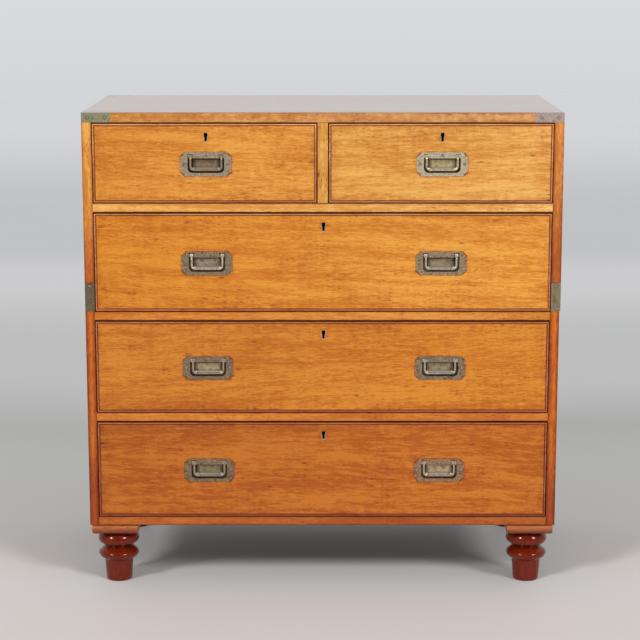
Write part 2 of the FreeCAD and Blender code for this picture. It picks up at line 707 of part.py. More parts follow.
def save_upper():
    """The upper section, with its brass straps."""
    mortises = [bolt_mortise(d) for d in DRAWERS[:3]]
    top_straps = all_corners([top_strap(), mirror_y(top_strap())])
    base_straps = all_corners([base_strap(), back_base_strap()])
    peg_holes = [rod(V(x, y, UPPER_Z), V(x, y, SECOND_RUN_Z), PEG_R + PEG_CLEAR)
                 for x, y in peg_places()]
    bottom = cut_all(base_board(), peg_holes)
    rail = cut_all(housed_board(UPPER, FRONT + RAIL_DEEP, UPPER_RAIL_Z, SHORT_RUN_Z), mortises)
    runners = [runner(UPPER, UPPER_RAIL_Z, left) for left in (True, False)]
    divider = box(-DIVIDER_T / 2, DIVIDER_T / 2, FRONT, BACK_IN, SHORT_RUN_Z, TOP_BOARD_Z)
    let_in = [bottom, rail] + runners + base_straps
    left = cut_all(side_board(UPPER, True, True), let_in)
    right = cut_all(side_board(UPPER, False, True), let_in)
    top = box(UPPER.left, UPPER.right, FRONT, BACK, TOP_BOARD_Z, TOP_Z)
    stops = drawer_stops(DRAWERS[0]) + drawer_stops(DRAWERS[1])
    save("upper_side_left", left)
    save("upper_side_right", right)
    save("upper_top_board", cut_all(top, [left, right] + top_straps + mortises))
    save("upper_base_board", bottom)
    save("upper_rail", rail)
    save("drawer_divider", divider)
    save("upper_runners", centre_runner(UPPER_RAIL_Z), *runners)
    save("upper_drawer_stops", *stops)
    save("upper_back_boards", *back_boards(UPPER))
    save("top_corner_straps", *top_straps)
    save("base_corner_straps", *base_straps)


def main():
    os.makedirs("parts", exist_ok=True)
    save_lower()
    save_upper()
    for drawer in DRAWERS:
        save_drawer(drawer)


main()
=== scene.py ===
"""Looks of the campaign chest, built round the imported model. Metres, in its frame:
+X is the right of the chest, +Y its back and +Z is up, from the floor."""
from math import cos, pi, radians, sin

import bmesh
import bpy
from mathutils import Matrix, Vector


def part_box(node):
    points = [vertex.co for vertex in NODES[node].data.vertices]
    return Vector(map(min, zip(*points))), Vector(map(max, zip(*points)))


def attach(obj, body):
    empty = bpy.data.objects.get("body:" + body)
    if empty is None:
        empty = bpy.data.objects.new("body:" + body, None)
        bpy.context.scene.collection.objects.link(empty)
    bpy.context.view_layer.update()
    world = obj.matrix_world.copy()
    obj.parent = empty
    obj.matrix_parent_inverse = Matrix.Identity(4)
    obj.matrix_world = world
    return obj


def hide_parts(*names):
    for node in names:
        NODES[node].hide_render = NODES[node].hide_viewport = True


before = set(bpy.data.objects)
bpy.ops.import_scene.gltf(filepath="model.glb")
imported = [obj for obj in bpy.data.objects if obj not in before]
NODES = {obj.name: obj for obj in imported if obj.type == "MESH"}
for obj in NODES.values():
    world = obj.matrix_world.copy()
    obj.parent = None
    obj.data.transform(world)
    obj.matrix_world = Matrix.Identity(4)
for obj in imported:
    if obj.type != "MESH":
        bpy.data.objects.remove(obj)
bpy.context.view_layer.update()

MM = 0.001
X, Y, Z = range(3)
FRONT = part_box("upper_rail")[0].y          # plane of the rails and drawer fronts

DRAWERS = ("top_left_drawer", "top_right_drawer", "second_drawer", "third_drawer",
           "bottom_drawer")
SHORT_DRAWERS = DRAWERS[:2]
PLATE_HALF_W, PLATE_HALF_H, PLATE_T = 49.5, 23.5, 2.4      # handle plates, in millimetres


# ------------------------------------------------------------------ shader nodes
class Tree:
    """A material's node tree, with a short call for each kind of node."""

    def __init__(self, name):
        self.material = bpy.data.materials.new(name)
        self.material.use_nodes = True
        self.tree = self.material.node_tree
        self.shader = self.tree.nodes["Principled BSDF"]

    def node(self, kind, inputs=(), **settings):
        made = self.tree.nodes.new(kind)
        for key, value in settings.items():
            setattr(made, key, value)
        for key, value in dict(inputs).items():
            self.put(made.inputs[key], value)
        return made

    def put(self, socket, value):
        if isinstance(value, bpy.types.NodeSocket):
            self.tree.links.new(value, socket)
        elif isinstance(value, (tuple, list)) and socket.type == "RGBA":
            socket.default_value = (*value[:3], 1.0)
        else:
            socket.default_value = value

    def place(self):
        """Where a point is on the object, in metres."""
        return self.node("ShaderNodeTexCoord").outputs["Object"]

    def axes(self, vector):
        return self.node("ShaderNodeSeparateXYZ", {0: vector}).outputs

    def vector(self, x, y, z):
        return self.node("ShaderNodeCombineXYZ", {0: x, 1: y, 2: z}).outputs[0]

    def math(self, operation, a, b=0.0):
        return self.node("ShaderNodeMath", {0: a, 1: b}, operation=operation).outputs[0]

    def plus(self, a, b):
        return self.math("ADD", a, b)

    def minus(self, a, b):
        return self.math("SUBTRACT", a, b)

    def times(self, a, b):
        return self.math("MULTIPLY", a, b)

    def most(self, a, b):
        return self.math("MAXIMUM", a, b)

    def gap(self, value, middle):
        """How far a value is from a middle, either way."""
        return self.math("ABSOLUTE", self.minus(value, middle))

    def stretched(self, vector, scale, offset=(0, 0, 0)):
        return self.node("ShaderNodeMapping", {0: vector, "Location": offset,
                                               "Scale": scale}).outputs[0]

    def noise(self, vector, detail=3.0, roughness=0.55):
        made = self.node("ShaderNodeTexNoise", {"Vector": vector, "Scale": 1.0,
                                                "Detail": detail, "Roughness": roughness})
        return made.outputs["Fac"]

    def cells(self, vector):
        """Distance to the nearest of many scattered points, and a random value of it."""
        made = self.node("ShaderNodeTexVoronoi", {"Vector": vector, "Scale": 1.0})
        return made.outputs["Distance"], self.axes(made.outputs["Color"])[0]

    def rise(self, value, low, high, start=0.0, end=1.0):
        """From start to end, smoothly, as value goes from low to high."""
        made = self.node("ShaderNodeMapRange", {0: value, 1: low, 2: high, 3: start, 4: end},
                         interpolation_type="SMOOTHSTEP")
        return made.outputs[0]

    def fall(self, value, low, high):
        """From 1 to 0, smoothly, as value goes from low to high."""
        return self.rise(value, low, high, 1.0, 0.0)

    def mix(self, share, a, b, blend="MIX"):
        made = self.node("ShaderNodeMix", data_type="RGBA", blend_type=blend)
        for index, value in ((0, share), (6, a), (7, b)):
            self.put(made.inputs[index], value)
        return made.outputs[2]

    def bump(self, height, strength, distance):
        return self.node("ShaderNodeBump", {"Height": height, "Strength": strength,
                                            "Distance": distance}).outputs[0]

    def finish(self, **sockets):
        for name, value in sockets.items():
            self.put(self.shader.inputs[name.replace("_", " ")], value)
        return self.material

    def inset(self, parts, low, high, axes):
        """How far a point is inside the nearest edge of a box, along some of its axes."""
        nearest = None
        for axis in axes:
            middle, half = (low[axis] + high[axis]) / 2, (high[axis] - low[axis]) / 2
            inside = self.minus(half, self.gap(parts[axis], middle))
            nearest = inside if nearest is None else self.math("MINIMUM", nearest, inside)
        return nearest

    def distance(self, parts, middle, mirror=0.0):
        """Distance in the plane of the front from (x, z), or from two such points that
        lie the mirror distance to the left and to the right of it."""
        across = self.minus(parts[X], middle[0])
        if mirror:
            across = self.minus(self.math("ABSOLUTE", across), mirror)
        up = self.minus(parts[Z], middle[1])
        return self.math("SQRT", self.plus(self.times(across, across), self.times(up, up)))


def srgb(red, green, blue):
    """A colour as it is seen, 0 to 255, as the linear values that shaders take."""
    return tuple(((c / 255 + 0.055) / 1.055) ** 2.4 if c > 10 else c / 3295
                 for c in (red, green, blue))


def shade(colour, share):
    return tuple(c * share for c in colour)


def multiplied(t, share, base, colour):
    return t.mix(share, base, t.mix(1.0, base, colour, "MULTIPLY"))


# ------------------------------------------------------------------ wood
# A wood's colour is multiplied by these.
PALE = (1.16, 1.30, 1.60)         # light and dark of the grain
DEEP = (0.84, 0.68, 0.44)
PORE = (0.50, 0.34, 0.22)
MARK = (0.34, 0.22, 0.16)
STAIN = (0.80, 0.62, 0.50)
GRIME_AND_SHADE = (0.46, 0.22, 0.16)        # dark polish along edges, also painted shade beside the beads and under a foot's bun
HALO = (0.40, 0.22, 0.16)         # dark polish round handle plates
UNPOLISHED_AND_GAP_SHADE = (0.16, 0.13, 0.12)   # faces of the case behind its front: bare wood, and painted shade in the gaps
TOP_TINT = (0.55, 0.50, 0.60)
# painted shadow: the gaps round the drawers, painted black along their edges
PAINTED_GAP_SHADOW = (0.07, 0.04, 0.03)
DARKER_BOARD = (0.76, 0.72, 0.68)
BEAD_SIDE = (0.42, 0.32, 0.26)

LAYER_SHARES = (0.6, 0.85, 0.75, 0.3, 0.2)       # bands, streaks, fine, speckle, mottle
TONE_MIDDLE = sum(LAYER_SHARES) / 2
TONE_SPREAD = 0.25
CORNER_CUT = 8.5                  # off each corner of a handle plate, where polish gathers


def round_plate(t, parts, middle, ragged):
    """Dark polish round a handle plate: a ragged line close to it, and fainter patches
    that reach 9 mm."""
    over_x = t.minus(t.gap(parts[X], middle[0]), PLATE_HALF_W * MM)
    over_z = t.minus(t.gap(parts[Z], middle[1]), PLATE_HALF_H * MM)
    cant = t.times(t.plus(t.plus(over_x, over_z), CORNER_CUT * MM), 0.7)
    nearest = t.most(t.most(over_x, over_z), cant)
    line = t.times(t.fall(nearest, 0.2 * MM, 2.0 * MM), t.rise(ragged, 0.32, 0.58, 0.25, 1.0))
    patches = t.times(t.fall(nearest, 0.5 * MM, 9.0 * MM), t.rise(ragged, 0.5, 0.66, 0.0, 0.6))
    return t.most(line, patches)


def fibres(t, place, parts, grain, seed, slant):
    """Where a point is along and across the grain, which waves a little."""
    others = [parts[i] for i in range(3) if i != grain]
    wave = t.noise(t.stretched(place, (4, 4, 4), (seed, 0, seed)), 2.0)
    across = t.plus(others[1], t.times(wave, 0.02))
    across = t.plus(across, t.times(parts[grain], slant))
    return t.vector(parts[grain], others[0], across)


def figure(t, place, fibre, shift):
    """Light and dark of the grain, round TONE_MIDDLE, and two of its layers: its streaks
    and its finest lines."""
    bands = t.noise(t.stretched(fibre, (2.4, 14, 20), shift), 3.0)
    streaks = t.noise(t.stretched(fibre, (7, 75, 100), shift), 5.0, 0.68)
    fine = t.noise(t.stretched(fibre, (60, 330, 430), shift), 3.0, 0.6)
    speckle = t.noise(t.stretched(place, (360, 360, 360), shift), 2.0, 0.6)
    mottle = t.noise(t.stretched(place, (26, 26, 11), shift), 3.0, 0.6)
    tone = 0.0
    for share, layer in zip(LAYER_SHARES, (bands, streaks, fine, speckle, mottle)):
        tone = t.plus(tone, t.times(layer, share))
    return tone, streaks, fine


def aged(t, base, place, fibre, shift):
    """A colour with pores, longer marks and faint stains on it, and the masks of the
    pores and of the marks."""
    worn = t.noise(t.stretched(place, (13, 13, 13), shift), 4.0, 0.65)
    pores, chance = t.cells(t.stretched(fibre, (90, 300, 360), shift))
    dot = t.times(t.fall(pores, 0.12, 0.5), t.rise(chance, 0.45, 0.55))
    dot = t.times(dot, t.rise(worn, 0.40, 0.64, 0.12, 0.75))
    base = multiplied(t, dot, base, PORE)
    marks, odds = t.cells(t.stretched(fibre, (30, 90, 90), shift))
    mark = t.times(t.fall(marks, 0.05, 0.26), t.rise(odds, 0.92, 0.93))
    base = multiplied(t, t.times(mark, 0.75), base, MARK)
    return multiplied(t, t.rise(worn, 0.53, 0.74, 0.0, 0.5), base, STAIN), dot, mark


def edge_grime_and_shade(t, inset, ragged, edge, edge_reach, spread, rim, core):
    """Dark polish along the edges of a board: thick as far in as edge_reach and patchy
    as far as spread. An even line as wide as rim, and all that is further in than core,
    are partly dirt and partly painted shade beside a proud bead."""
    patchy = t.times(t.fall(inset, 0.0, spread * MM), t.rise(ragged, 0.38, 0.68, 0.0, 0.8))
    thick = t.times(t.fall(inset, 0.0, edge_reach * MM), t.rise(ragged, 0.3, 0.6, 0.5, 1.0))
    grime_and_shade = t.times(t.most(patchy, thick), edge)
    # partly dirt, partly painted shade: an even dark line along a front, beside its proud bead
    if rim:
        line = t.fall(inset, rim * MM, (rim + 0.5) * MM)
        grime_and_shade = t.most(grime_and_shade, t.times(line, t.rise(ragged, 0.3, 0.6, 0.75, 1.0)))
    # partly dirt, partly painted shade: a bead darkened on its inner side, further in than core
    if core:
        grime_and_shade = t.most(grime_and_shade, t.rise(inset, core * MM, (core + 0.4) * MM))
    return grime_and_shade


def wood(name, colours, grain, seed, box=None, fade_axis=X, edge_axes=(X, Z), edge=0.5,
         edge_reach=3.0, spread=35.0, rim=None, core=None, lip=None, plates=(), keyhole=None,
         inside=None, band=None, top=False, contrast=1.0, slant=0.0, gloss=0.34, coat=0.1,
         specular=0.3, coat_roughness=0.2):
    """Old polished mahogany: broad bands, streaks, short dark pores, stains, and dark
    red polish gathered along the edges of a board and round its brass. Two colours fade
    from the low to the high end of the box, along fade_axis. Lengths are in millimetres:
    a front is dark to its rim and a bead further in than its core, partly dirt and partly
    painted shade beside the proud bead, and a board is painted black to its lip as the
    shadow of a gap that runs along it. The last of inside tints what lies further behind
    the front than its first two. A band of painted shade grows dark between its first two
    heights and fades between the other two."""
    t = Tree(name)
    place = t.place()
    parts = t.axes(place)
    depth = t.minus(parts[Y], FRONT)
    shift = (seed * 1.7, seed * 0.9, seed * 2.3)
    fibre = fibres(t, place, parts, grain, seed, slant)
    tone, streaks, fine = figure(t, place, fibre, shift)
    base = colours
    if isinstance(colours[0], tuple):
        base = t.mix(t.rise(parts[fade_axis], box[0][fade_axis], box[1][fade_axis]), *colours)
    half = TONE_SPREAD / contrast
    tint = t.mix(t.rise(tone, TONE_MIDDLE - half, TONE_MIDDLE + half), DEEP, PALE)
    base, dot, mark = aged(t, t.mix(1.0, base, tint, "MULTIPLY"), place, fibre, shift)

    if box:
        ragged = t.noise(t.stretched(place, (70, 70, 70), shift), 5.0, 0.7)
        face = t.fall(depth, 0.2 * MM, 1.2 * MM)
        inset = t.inset(parts, *box, edge_axes)
        # dark polish along the edges, with painted shade beside the beads (rim, core)
        grime_and_shade = edge_grime_and_shade(t, inset, ragged, edge, edge_reach, spread, rim, core)
        base = multiplied(t, t.times(grime_and_shade, face), base, GRIME_AND_SHADE)
        # painted shadow: a board's front face painted black to its lip, where a gap runs along it
        if lip:
            wide, lip_axes = lip
            inset = t.inset(parts, *box, lip_axes)
            black = t.fall(inset, (wide - 0.25) * MM, (wide + 0.25) * MM)
            base = multiplied(t, t.times(black, face), base, PAINTED_GAP_SHADOW)
        for middle in plates:
            base = multiplied(t, round_plate(t, parts, middle, ragged), base, HALO)
        if keyhole:
            touched = t.times(t.fall(t.distance(parts, keyhole), 5.0 * MM, 15.0 * MM),
                              t.rise(ragged, 0.42, 0.6, 0.15, 0.9))
            base = multiplied(t, touched, base, STAIN)
    # painted shade: a dark band, as under a foot's bun
    if band:
        dark = t.times(t.rise(parts[Z], band[0] * MM, band[1] * MM),
                       t.fall(parts[Z], band[2] * MM, band[3] * MM))
        base = multiplied(t, dark, base, GRIME_AND_SHADE)
    if inside:
        start, end, tint = inside
        base = multiplied(t, t.rise(depth, start * MM, end * MM), base, tint)
    rough = t.rise(streaks, 0.3, 0.7, gloss, gloss + 0.12)
    if top:
        upper = t.rise(parts[Z], box[1][Z] - 1.2 * MM, box[1][Z] - 0.2 * MM)
        base = multiplied(t, upper, base, TOP_TINT)
        rough = t.times(rough, t.rise(upper, 0.0, 1.0, 1.0, 0.45))
        coat = t.rise(depth, 1.0 * MM, 26.0 * MM, 0.15 * coat, coat)

    height = t.plus(t.times(fine, 0.6), t.times(dot, -0.8))
    height = t.plus(height, t.times(mark, -1.0))
    return t.finish(Base_Color=base, Roughness=rough, Specular_IOR_Level=specular,
                    Coat_Weight=coat, Coat_Roughness=coat_roughness,
                    Normal=t.bump(height, 0.35, 0.0003))


def bare_wood(name, colour, grain, seed, seams=()):
    """Unpolished inside wood, dusty and darker in streaks. Seams are the two heights at
    which the middle one of three back boards, which is darker, meets the others."""
    t = Tree(name)
    place = t.place()
    parts = t.axes(place)
    others = [parts[i] for i in range(3) if i != grain]
    fibre = t.vector(parts[grain], others[0], others[1])
    streaks = t.noise(t.stretched(fibre, (4, 60, 80), (seed, seed, 0)), 4.0, 0.6)
    fine = t.noise(t.stretched(fibre, (30, 500, 500), (0, seed, 0)), 2.0)
    dust = t.noise(t.stretched(place, (7, 7, 7), (seed, 0, 0)), 4.0, 0.6)
    base = t.mix(t.rise(streaks, 0.3, 0.7), shade(colour, 1.15), shade(colour, 0.72))
    base = t.mix(t.rise(fine, 0.45, 0.7, 0.0, 0.4), base, shade(colour, 0.5))
    base = t.mix(t.rise(dust, 0.45, 0.75, 0.0, 0.45), base, shade(colour, 0.55))
    if seams:
        middle = t.times(t.rise(parts[Z], seams[0], seams[0] + 0.2 * MM),
                         t.fall(parts[Z], seams[1], seams[1] + 0.2 * MM))
        base = multiplied(t, middle, base, DARKER_BOARD)
    for level in seams:
        line = t.rise(t.gap(parts[Z], level), 0.3 * MM, 1.1 * MM, 0.9, 0.0)
        base = multiplied(t, line, base, GRIME_AND_SHADE)
    return t.finish(Base_Color=base, Roughness=t.rise(fine, 0.3, 0.7, 0.62, 0.78),
                    Normal=t.bump(fine, 0.4, 0.0003))


# ------------------------------------------------------------------ brass
# A brass's colour is multiplied by these, apart from the last, which is a colour.
TARNISH = (0.40, 0.37, 0.31)
DIRT_AND_SHADE = (0.10, 0.09, 0.08)
PAINTED_KEYHOLE_SHADE = (0.01, 0.01, 0.01)
SHINE = (1.55, 1.50, 1.45)
PAINTED_DISH_FOOT_LIGHT = (0.60, 0.56, 0.46)     # painted light on the foot of a dish, as if lit from above

KEYHOLE_HALF = (2.5, 3.5)         # half width of a keyhole's foot and of its round top


def in_dish(t, parts, colour, cloud, middle):
    """The dish of a handle plate, with painted shadow at its top and sides and painted light at its
    foot.
    """
    bowl = multiplied(t, t.rise(cloud, 0.38, 0.7, 0.0, 0.8), colour, TARNISH)
    level = t.minus(parts[Z], middle[1])
    aside = t.gap(parts[X], middle[0])
    # painted shadow under the plate's upper edge and at the dish's ends
    shadow = t.most(t.rise(level, 5.4 * MM, 8.8 * MM, 0.0, 0.9),
                    t.rise(aside, 18.5 * MM, 25.5 * MM, 0.0, 0.75))
    bowl = multiplied(t, shadow, bowl, DIRT_AND_SHADE)
    # painted light on the dish's lower wall
    return t.mix(t.rise(level, -8.4 * MM, -5.8 * MM, 0.7, 0.0), bowl, PAINTED_DISH_FOOT_LIGHT)


def in_keyhole(t, parts, depth, hole):
    """1 in the depth of a keyhole and within its outline on the face of the liner, where
    its shade is painted black.
    """
    x, foot, top = hole
    deep = t.times(t.rise(depth, 0.6 * MM, 1.6 * MM), t.fall(depth, 12.0 * MM, 14.0 * MM))
    narrow, wide = KEYHOLE_HALF
    half = t.rise(parts[Z], top - 9.0 * MM, top - 6.5 * MM, narrow * MM, wide * MM)
    outline = t.fall(t.minus(t.gap(parts[X], x), half), -0.3 * MM, 0.3 * MM)
    outline = t.times(outline, t.rise(parts[Z], foot + 1.7 * MM, foot + 2.3 * MM))
    outline = t.times(outline, t.fall(parts[Z], top - 1.2 * MM, top - 0.7 * MM))
    return t.most(deep, outline)


def brass(name, colour, seed, tarnished=0.5, roughness=0.34, spotted=1.0, dish=None,
          middle=None, black=0.97, hole=None, ends=None, rings=(), ring_dark=(0.8, 0.8),
          top=None):
    """Old brass: worn bright in places, tarnished and scratched in others. The recess of a
    handle plate is darkened by dirt and painted shade, as far as black says, and its dish
    has a colour of its own, with painted shadow and painted light on it. A keyhole (its
    middle, foot and top) is painted black as its shade, and dirt rings the screws. With
    two ends, the colour is a pair, for the left and the right. The face at the height top
    is smoother."""
    t = Tree(name)
    place = t.place()
    parts = t.axes(place)
    depth = t.minus(parts[Y], FRONT)
    shift = (seed, seed * 2.1, seed * 0.7)
    cloud = t.noise(t.stretched(place, (110, 110, 110), shift), 6.0, 0.7)
    grain = t.noise(t.stretched(place, (380, 380, 380), shift), 3.0, 0.6)
    scratch = t.noise(t.stretched(place, (90, 900, 1500), shift), 2.0, 0.5)
    base = t.mix(t.rise(parts[X], *ends), *colour) if ends else colour
    cover = t.rise(cloud, 0.62 - 0.3 * tarnished, 0.80 - 0.3 * tarnished, 0.0, 0.8)
    base = multiplied(t, cover, base, TARNISH)
    base = multiplied(t, t.rise(grain, 0.48, 0.66, 0.0, 0.75 * spotted), base, TARNISH)
    base = multiplied(t, t.rise(grain, 0.32, 0.45, 0.9 * spotted, 0.0), base, SHINE)
    if dish:
        # dirt and painted shade in the recess round the bail
        base = multiplied(t, t.rise(depth, 1.0 * MM, 4.5 * MM, 0.0, black), base, DIRT_AND_SHADE)
        bowl = in_dish(t, parts, dish, cloud, middle)
        base = t.mix(t.rise(depth, 5.9 * MM, 6.6 * MM), base, bowl)
    if hole:
        # painted shade: the keyhole painted black
        base = multiplied(t, in_keyhole(t, parts, depth, hole), base, PAINTED_KEYHOLE_SHADE)
        above = t.rise(parts[Z], hole[1] + 3.0 * MM, hole[1] + 7.0 * MM, 0.0, 0.4)
        base = multiplied(t, above, base, TARNISH)
    for middle_x, aside, z in rings:
        away = t.distance(parts, (middle_x, z), aside)
        ring = t.times(t.rise(away, 2.6 * MM, 3.1 * MM), t.fall(away, 3.6 * MM, 4.4 * MM))
        ring = t.times(ring, t.rise(parts[X], *ends, *ring_dark))
        base = multiplied(t, ring, base, DIRT_AND_SHADE)
    rough = t.plus(t.rise(cloud, 0.3, 0.8, roughness, roughness + 0.25),
                   t.rise(scratch, 0.5, 0.8, 0.0, 0.12))
    if top:
        upper = t.rise(parts[Z], top - 1.2 * MM, top - 0.2 * MM)
        rough = t.times(rough, t.rise(upper, 0.0, 1.0, 1.0, 0.3))
    height = t.plus(grain, scratch)
    return t.finish(Base_Color=base, Metallic=0.85, Roughness=rough,
                    Normal=t.bump(height, 0.35, 0.0002))


# ------------------------------------------------------------------ colours
FRONT_COLOURS = {                # ends of each front, and the slant and contrast of its grain
    "top_left_drawer": (srgb(211, 134, 45), srgb(221, 149, 58), 0.03, 1.1),
    "top_right_drawer": (srgb(220, 154, 67), srgb(225, 161, 77), -0.02, 1.1),
    "second_drawer": (srgb(208, 126, 31), srgb(222, 147, 53), 0.04, 1.25),
    "third_drawer": (srgb(197, 117, 32), srgb(205, 124, 33), -0.03, 1.35),
    "bottom_drawer": (srgb(179, 96, 22), srgb(189, 104, 26), 0.02, 1.9),
}
CASE_BOARDS = {                  # left and right ends
    "upper_top_board": (srgb(213, 145, 66), srgb(214, 153, 86)),
    "upper_rail": (srgb(230, 165, 80), srgb(235, 178, 97)),
    "drawer_divider": (srgb(232, 170, 81), srgb(236, 179, 91)),
    "lower_top_board": (srgb(207, 126, 42), srgb(213, 136, 53)),
    "lower_mid_rail": (srgb(208, 123, 40), srgb(206, 119, 40)),
    "lower_bottom_board": (srgb(178, 93, 29), srgb(170, 85, 27)),
}
CASE_SIDES = {                   # lower and upper ends, between these heights in metres
    "upper_side_left": (srgb(192, 103, 33), srgb(225, 156, 64), 0.60, 0.92),
    "upper_side_right": (srgb(178, 92, 31), srgb(221, 142, 64), 0.60, 0.92),
    "lower_side_left": (srgb(169, 79, 27), srgb(188, 97, 18), 0.13, 0.37),
    "lower_side_right": (srgb(165, 78, 22), srgb(197, 100, 18), 0.13, 0.37),
}
BEAD_COLOURS = {                 # below and above; the upper end is painted lighter, as painted light from above
    "top_left_drawer": (srgb(186, 112, 58), srgb(222, 150, 92)),
    "top_right_drawer": (srgb(190, 120, 70), srgb(222, 154, 98)),
    "second_drawer": (srgb(194, 116, 62), srgb(200, 130, 76)),
    "third_drawer": (srgb(172, 96, 54), srgb(184, 110, 62)),
    "bottom_drawer": (srgb(150, 78, 42), srgb(170, 98, 52)),
}
FOOT_COLOUR = srgb(108, 28, 4)
FOOT_NECK_SHADE = (68, 72, 76, 81)     # heights of the painted shade on the neck between ring and bun, under the bun
BLOCK_SHADE_AND_LIGHT = (srgb(104, 44, 20), srgb(176, 98, 50))       # below and above: painted shade low on a block, painted light on its rounded top
BLOCK_FADE = (1, 15)             # and the heights on a block where they begin
BOX_COLOUR, INNER_COLOUR = srgb(176, 126, 78), srgb(150, 104, 66)

HANDLE_LOOKS = {                 # colours of the plate, the dish and the bail
    "top_left_drawer": (srgb(201, 180, 156), srgb(182, 155, 125), srgb(185, 162, 136)),
    "top_right_drawer": (srgb(234, 216, 188), srgb(238, 218, 166), srgb(224, 212, 172)),
    "second_drawer_left": (srgb(169, 147, 120), srgb(200, 180, 152), srgb(220, 205, 180)),
    "second_drawer_right": (srgb(186, 160, 128), srgb(196, 177, 146), srgb(214, 202, 182)),
    "third_drawer_left": (srgb(159, 134, 108), srgb(216, 196, 156), srgb(186, 170, 150)),
    "third_drawer_right": (srgb(165, 143, 117), srgb(192, 179, 143), srgb(200, 188, 174)),
    "bottom_drawer_left": (srgb(155, 129, 104), srgb(180, 163, 128), srgb(180, 162, 142)),
    "bottom_drawer_right": (srgb(178, 140, 112), srgb(220, 198, 158), srgb(200, 180, 156)),
}
STRAP_LOOKS = {                  # left and right: colours, and how dark screws are ringed
    "top_corner_straps": ((srgb(175, 170, 137), srgb(211, 190, 182)), (0.75, 0.25)),
    "base_corner_straps": ((srgb(129, 117, 89), srgb(164, 148, 120)), (0.7, 0.5)),
}
STRAPS_MIDDLE = (-0.1, 0.1)      # where the left colour gives way to the right one


# ------------------------------------------------------------------ CAD nodes
WELD_REACH = 1e-6
BOARD_EASE, BEAD_EASE, STRAP_EASE, BLOCK_EASE = 0.8 * MM, 0.9 * MM, 0.7 * MM, 1.8 * MM


def dress(name, material):
    """Gives a CAD node its material, in place of the ones it came with."""
    node = NODES[name]
    node.data.materials.clear()
    node.data.materials.append(material)


def ease(thing, width, angle):
    """Rounds edges that turn more than an angle in degrees, as hand finishing does."""
    bevel = thing.modifiers.new("ease", "BEVEL")
    bevel.width = width
    bevel.segments = 2
    bevel.limit_method = "ANGLE"
    bevel.angle_limit = radians(angle)
    bevel.use_clamp_overlap = True
    thing.modifiers.new("shade", "WEIGHTED_NORMAL")


def soften(name, width):
    """Eases the edges of a CAD node, once its faces are joined along them."""
    node = NODES[name]
    node.modifiers.new("weld", "WELD").merge_threshold = WELD_REACH
    ease(node, width, 35)


# ------------------------------------------------------------------ case
seeds = iter(range(1, 100))            # each wood takes the next one
# Case faces behind the front: bare wood, darkened further as painted shade in the gaps.
BEHIND_FRONT = (0.8, 2.5, UNPOLISHED_AND_GAP_SHADE)

# Rails and the divider are painted black along their gaps (lip), as painted shadow.
for name, colours in CASE_BOARDS.items():
    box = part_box(name)
    seed = next(seeds)
    if name == "upper_top_board":
        material = wood(name, colours, X, seed, box, edge=0.6, top=True, coat=0.6,
                        specular=0.5, coat_roughness=0.08)
    elif name == "drawer_divider":
        material = wood(name, colours, Z, seed, box, edge=0.4, lip=(0.5, (X,)),
                        inside=BEHIND_FRONT)
    else:
        material = wood(name, colours, X, seed, box, edge_reach=4.5, edge=0.7, spread=6.0,
                        inside=BEHIND_FRONT, contrast=1.2, lip=(0.8, (Z,)))
    dress(name, material)
    soften(name, BOARD_EASE)

for name, (low_end, high_end, z0, z1) in CASE_SIDES.items():
    box = [Vector(corner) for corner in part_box(name)]
    box[0].z, box[1].z = z0, z1
    lower = name.startswith("lower")
    dress(name, wood(name, (low_end, high_end), Z, next(seeds), box, Z, edge_axes=(X,),
                     edge=1.0 if lower else 0.75, edge_reach=8.0 if lower else 5.0,
                     spread=8.0, contrast=1.4))
    soften(name, BOARD_EASE)


# ------------------------------------------------------------------ drawers
def handle_places(drawer):
    """The middle of each handle plate of a drawer, by the ending of its bail's name."""
    low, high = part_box(drawer + "_plates")
    middle_z = (low.z + high.z) / 2
    if drawer in SHORT_DRAWERS:
        return {"": ((low.x + high.x) / 2, middle_z)}
    half = PLATE_HALF_W * MM
    return {"_left": (low.x + half, middle_z), "_right": (high.x - half, middle_z)}


def liner_place(lock):
    """Middle, foot and top of the brass liner of a keyhole."""
    node = NODES[lock]
    points = [node.matrix_world @ vert.co for vert in node.data.vertices]
    liner = [point for point in points if point.y < FRONT + 0.3 * MM]
    x = [point.x for point in liner]
    z = [point.z for point in liner]
    return (min(x) + max(x)) / 2, min(z), max(z)


for drawer in DRAWERS:
    front = drawer + "_front"
    left_end, right_end, slant, contrast = FRONT_COLOURS[drawer]
    lock_x, lock_foot, lock_top = liner_place(drawer + "_lock")
    # rim: the front is darkened beside its bead, partly dirt and partly painted shade
    dress(front, wood(front, (left_end, right_end), X, next(seeds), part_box(front), rim=4.9,
                      plates=handle_places(drawer).values(), slant=slant,
                      keyhole=(lock_x, (lock_foot + lock_top) / 2), contrast=contrast))
    bead = drawer + "_bead"
    # A bead is painted lighter above (painted light), dark on its inner side (core: partly dirt,
    # partly painted shade) and black at its outer edge (lip: painted shadow of the gap).
    dress(bead, wood(bead, BEAD_COLOURS[drawer], X, next(seeds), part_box(bead), Z, edge=0.0,
                     core=2.6, lip=(0.65, (X, Z)), inside=(1.0, 3.0, BEAD_SIDE), gloss=0.2,
                     coat=0.4, specular=0.4))
    soften(bead, BEAD_EASE)
    dress(drawer + "_box", bare_wood(drawer + "_box", BOX_COLOUR, Y, next(seeds)))


# ------------------------------------------------------------------ inside, blocks, locks
for name in ("lower_runners", "lower_drawer_stops", "lower_back_boards", "locating_pegs",
             "upper_base_board", "upper_runners", "upper_drawer_stops",
             "upper_back_boards"):
    grain = Y if "runners" in name else X
    seams = []
    if "back_boards" in name:
        low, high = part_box(name)
        seams = [low.z + (high.z - low.z) * i / 3 for i in (1, 2)]
    dress(name, bare_wood(name, INNER_COLOUR, grain, next(seeds), seams))

